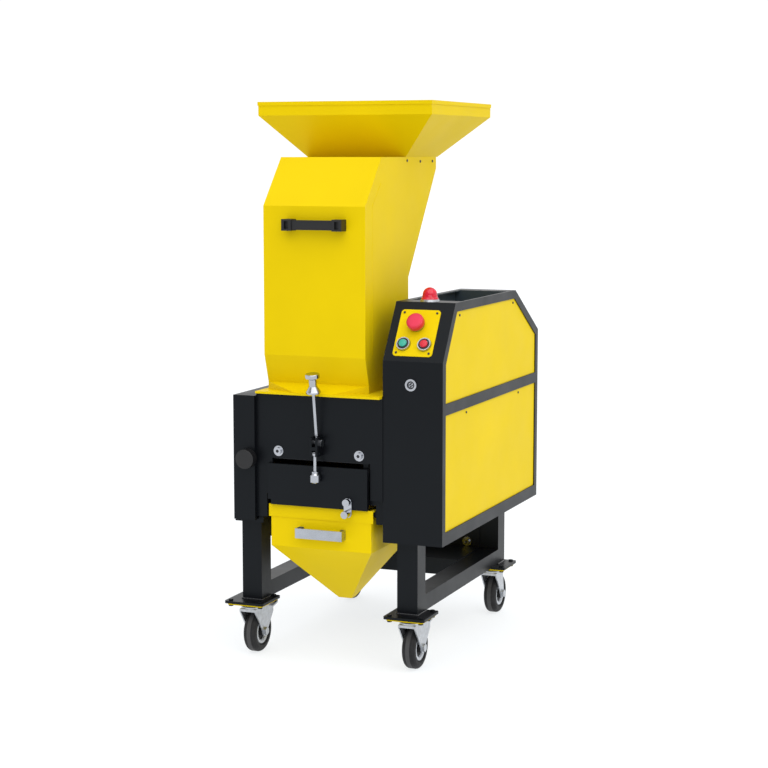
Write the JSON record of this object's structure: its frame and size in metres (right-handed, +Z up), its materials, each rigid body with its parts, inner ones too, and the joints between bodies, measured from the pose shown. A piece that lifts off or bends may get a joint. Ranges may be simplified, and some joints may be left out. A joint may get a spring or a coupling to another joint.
{
  "type": "waste shredder",
  "caption": "Plastic waste granulator on casters: tilting feed hopper over a cutting chamber, pull-out granule bin below and a drive cabinet with a sloped control face beside it.",
  "frame": {"origin": "on the floor, under the middle of the machine's bounding box", "axes": "+Z up, -Y towards the operator at the bin's front, +X to the right, towards the drive cabinet's outer side"},
  "size_m": [0.5476, 0.7551, 1.3],
  "materials": {
    "black_paint": "satin powder coat",
    "yellow_paint": "satin powder coat",
    "zinc": "zinc plated",
    "chrome": "polished",
    "steel": "machined",
    "cast": "painted casting",
    "tyre": "smooth rubber",
    "black_plastic": "fine grain",
    "green_plastic": "smooth",
    "red_plastic": "smooth",
    "red_lens": "translucent"
  },
  "bodies": {
    "machine": {"frame_legs": "black_paint", "frame_rails": "black_paint", "rear_shelf": "black_paint", "caster_plates": "yellow_paint", "caster_bolts": "black_paint", "socket_bolts": "chrome", "chamber_walls": "black_paint", "front_plate": "black_paint", "clevis_block": "black_paint", "clevis_pins": "chrome", "knife_beds": "black_paint", "fixed_knives": "steel", "screen": "steel", "rotor_bearings": "steel", "hinge_fixed_leaf": "black_paint", "side_cover": "black_paint", "cabinet_left_side": "black_paint", "cabinet_front": "black_paint", "cabinet_back": "black_paint", "side_frame": "black_paint", "side_panels": "yellow_paint", "cabinet_screws": "black_plastic", "control_plate": "yellow_paint", "button_bezels": "chrome", "contact_blocks": "black_plastic", "beacon_base": "zinc", "beacon_lens": "red_lens", "gearbox": "cast", "motor": "cast"},
    "hopper": {"feed_tray": "yellow_paint", "hopper_tower": "yellow_paint", "hopper_flange": "yellow_paint", "hopper_handle": "black_plastic", "hinge_hopper_leaf": "black_paint"},
    "rotor": {"rotor_shaft": "steel", "rotor_knives": "steel"},
    "fan": {"motor_fan": "black_plastic"},
    "swing_bolt": {"swing_rod": "chrome"},
    "swing_nut": {"spool_nut": "chrome"},
    "clamp_bolt": {"clamp_rod": "chrome"},
    "clamp_nut": {"clamp_knob": "chrome"},
    "door": {"screen_door": "black_paint"},
    "bin": {"granule_bin": "yellow_paint", "bin_handle": "zinc"},
    "catch": {"bin_catch": "chrome"},
    "cover_knob": {"side_knob": "black_plastic"},
    "stop_button": {"estop_button": "red_plastic"},
    "start_button": {"green_button": "green_plastic"},
    "off_button": {"red_button": "red_plastic"},
    "lock": {"cam_lock": "chrome"},
    "front_left_caster": {"front_left_fork": "zinc"},
    "front_left_roller": {"front_left_wheel": "tyre"},
    "front_left_pedal": {"front_left_brake": "zinc"},
    "front_right_caster": {"front_right_fork": "zinc"},
    "front_right_roller": {"front_right_wheel": "tyre"},
    "front_right_pedal": {"front_right_brake": "zinc"},
    "rear_left_caster": {"rear_left_fork": "zinc"},
    "rear_left_roller": {"rear_left_wheel": "tyre"},
    "rear_right_caster": {"rear_right_fork": "zinc"},
    "rear_right_roller": {"rear_right_wheel": "tyre"}
  },
  "joints": [
    {"name": "hopper_tilt", "type": "hinge", "parent": "machine", "child": "hopper", "pos_m": [-0.04525, -0.01937, 0.633], "axis": [-1, 0, 0], "range_deg": [0, 75]},
    {"name": "swing_bolt_swing", "type": "hinge", "parent": "machine", "child": "swing_bolt", "pos_m": [-0.02525, -0.33637, 0.527], "axis": [1, 0, 0], "range_deg": [-8.5, 81.5]},
    {"name": "swing_nut_turn", "type": "hinge", "parent": "swing_bolt", "child": "swing_nut", "pos_m": [-0.02525, -0.33637, 0.527], "axis": [0, -0.1478, 0.989], "continuous": true},
    {"name": "clamp_bolt_swing", "type": "hinge", "parent": "machine", "child": "clamp_bolt", "pos_m": [-0.02525, -0.34687, 0.5037], "axis": [-1, 0, 0], "range_deg": [0, 85]},
    {"name": "clamp_nut_turn", "type": "hinge", "parent": "clamp_bolt", "child": "clamp_nut", "pos_m": [-0.02525, -0.34687, 0.5037], "axis": [0, 0, 1], "continuous": true},
    {"name": "door_lift", "type": "slide", "parent": "machine", "child": "door", "axis": [0, 0, 1], "range_m": [0, 0.01]},
    {"name": "bin_slide", "type": "slide", "parent": "machine", "child": "bin", "axis": [0, -1, 0], "range_m": [0, 0.28]},
    {"name": "catch_turn", "type": "hinge", "parent": "bin", "child": "catch", "pos_m": [0.05025, -0.33437, 0.369], "axis": [0, 1, 0], "range_deg": [0, 90]},
    {"name": "cover_knob_turn", "type": "hinge", "parent": "machine", "child": "cover_knob", "pos_m": [-0.20025, -0.34237, 0.481], "axis": [0, 1, 0], "continuous": true},
    {"name": "stop_button_press", "type": "slide", "parent": "machine", "child": "stop_button", "axis": [0, 0.8431, -0.5377], "range_m": [0, 0.004], "stiffness_N_per_m": 800, "springref_m": -0.002},
    {"name": "start_button_press", "type": "slide", "parent": "machine", "child": "start_button", "axis": [0, 0.8431, -0.5377], "range_m": [0, 0.003], "stiffness_N_per_m": 800, "springref_m": -0.002},
    {"name": "off_button_press", "type": "slide", "parent": "machine", "child": "off_button", "axis": [0, 0.8431, -0.5377], "range_m": [0, 0.003], "stiffness_N_per_m": 800, "springref_m": -0.002},
    {"name": "lock_turn", "type": "hinge", "parent": "machine", "child": "lock", "pos_m": [0.19875, -0.32237, 0.668], "axis": [0, 1, 0], "range_deg": [0, 90]},
    {"name": "rotor_spin", "type": "hinge", "parent": "machine", "child": "rotor", "pos_m": [-0.02225, -0.17787, 0.525], "axis": [1, 0, 0], "continuous": true},
    {"name": "fan_spin", "type": "hinge", "parent": "machine", "child": "fan", "pos_m": [0.19475, 0.11763, 0.525], "axis": [0, 1, 0], "continuous": true},
    {"name": "front_left_swivel", "type": "hinge", "parent": "machine", "child": "front_left_caster", "pos_m": [-0.22375, -0.27037, 0.112], "axis": [0, 0, 1], "continuous": true},
    {"name": "front_left_roll", "type": "hinge", "parent": "front_left_caster", "child": "front_left_roller", "pos_m": [-0.22375, -0.24537, 0.05], "axis": [1, 0, 0], "continuous": true},
    {"name": "front_left_brake_press", "type": "hinge", "parent": "front_left_caster", "child": "front_left_pedal", "pos_m": [-0.22375, -0.20737, 0.095], "axis": [-1, 0, 0], "range_deg": [0, 15]},
    {"name": "front_right_swivel", "type": "hinge", "parent": "machine", "child": "front_right_caster", "pos_m": [0.17925, -0.27037, 0.112], "axis": [0, 0, 1], "continuous": true},
    {"name": "front_right_roll", "type": "hinge", "parent": "front_right_caster", "child": "front_right_roller", "pos_m": [0.17925, -0.24537, 0.05], "axis": [1, 0, 0], "continuous": true},
    {"name": "front_right_brake_press", "type": "hinge", "parent": "front_right_caster", "child": "front_right_pedal", "pos_m": [0.17925, -0.20737, 0.095], "axis": [-1, 0, 0], "range_deg": [0, 15]},
    {"name": "rear_left_swivel", "type": "hinge", "parent": "machine", "child": "rear_left_caster", "pos_m": [-0.22375, 0.30363, 0.112], "axis": [0, 0, 1], "continuous": true},
    {"name": "rear_left_roll", "type": "hinge", "parent": "rear_left_caster", "child": "rear_left_roller", "pos_m": [-0.22375, 0.32863, 0.05], "axis": [1, 0, 0], "continuous": true},
    {"name": "rear_right_swivel", "type": "hinge", "parent": "machine", "child": "rear_right_caster", "pos_m": [0.17925, 0.30363, 0.112], "axis": [0, 0, 1], "continuous": true},
    {"name": "rear_right_roll", "type": "hinge", "parent": "rear_right_caster", "child": "rear_right_roller", "pos_m": [0.17925, 0.32863, 0.05], "axis": [1, 0, 0], "continuous": true}
  ],
  "couplings": [
    {"joint": "fan_spin", "follows": "rotor_spin", "ratio": 7.5}
  ]
}
